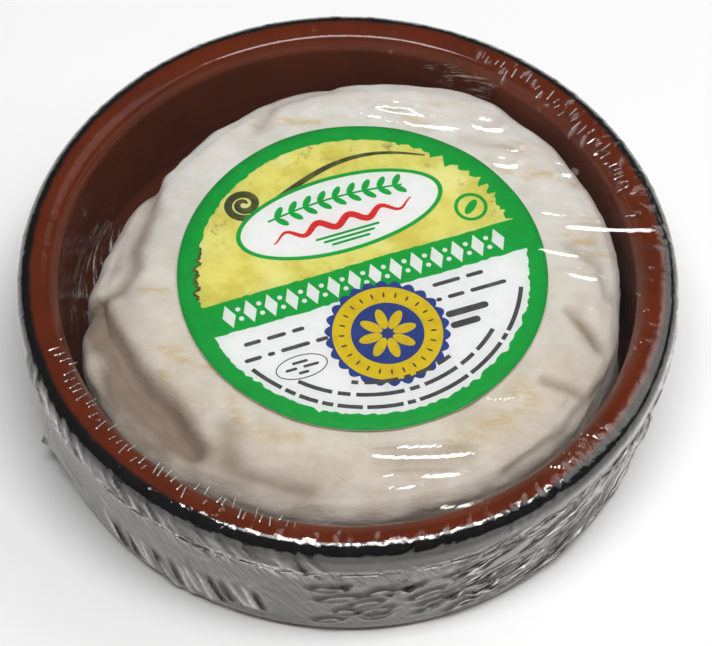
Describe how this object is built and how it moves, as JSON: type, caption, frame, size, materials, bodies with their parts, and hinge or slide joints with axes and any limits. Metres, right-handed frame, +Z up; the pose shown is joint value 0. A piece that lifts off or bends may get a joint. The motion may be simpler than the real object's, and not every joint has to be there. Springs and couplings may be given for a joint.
{
  "type": "wrapped soft cheese in a bowl",
  "caption": "Small soft-ripened cheese with a white rind in a glazed terracotta bowl, with a round paper label, sealed in clear shrink film.",
  "frame": {"origin": "on the underside of the film at the middle of the bowl, on the surface that the pack stands on", "axes": "+Z up, out of the bowl's mouth; -Y is the side that the label's lettering bars face, +X is to its right"},
  "size_m": [0.097, 0.097, 0.027],
  "materials": {
    "glazed_terracotta": "glossy red-brown glaze inside and over the rim, near-black glaze outside",
    "white_rind": "matt, velvety white mould rind with yellowish streaks",
    "printed_paper": "printed, satin",
    "clear_film": "clear and glossy, wrinkled"
  },
  "bodies": {
    "root": {"bowl": "glazed_terracotta", "cheese": "white_rind", "label": "printed_paper", "film": "clear_film"}
  },
  "joints": []
}
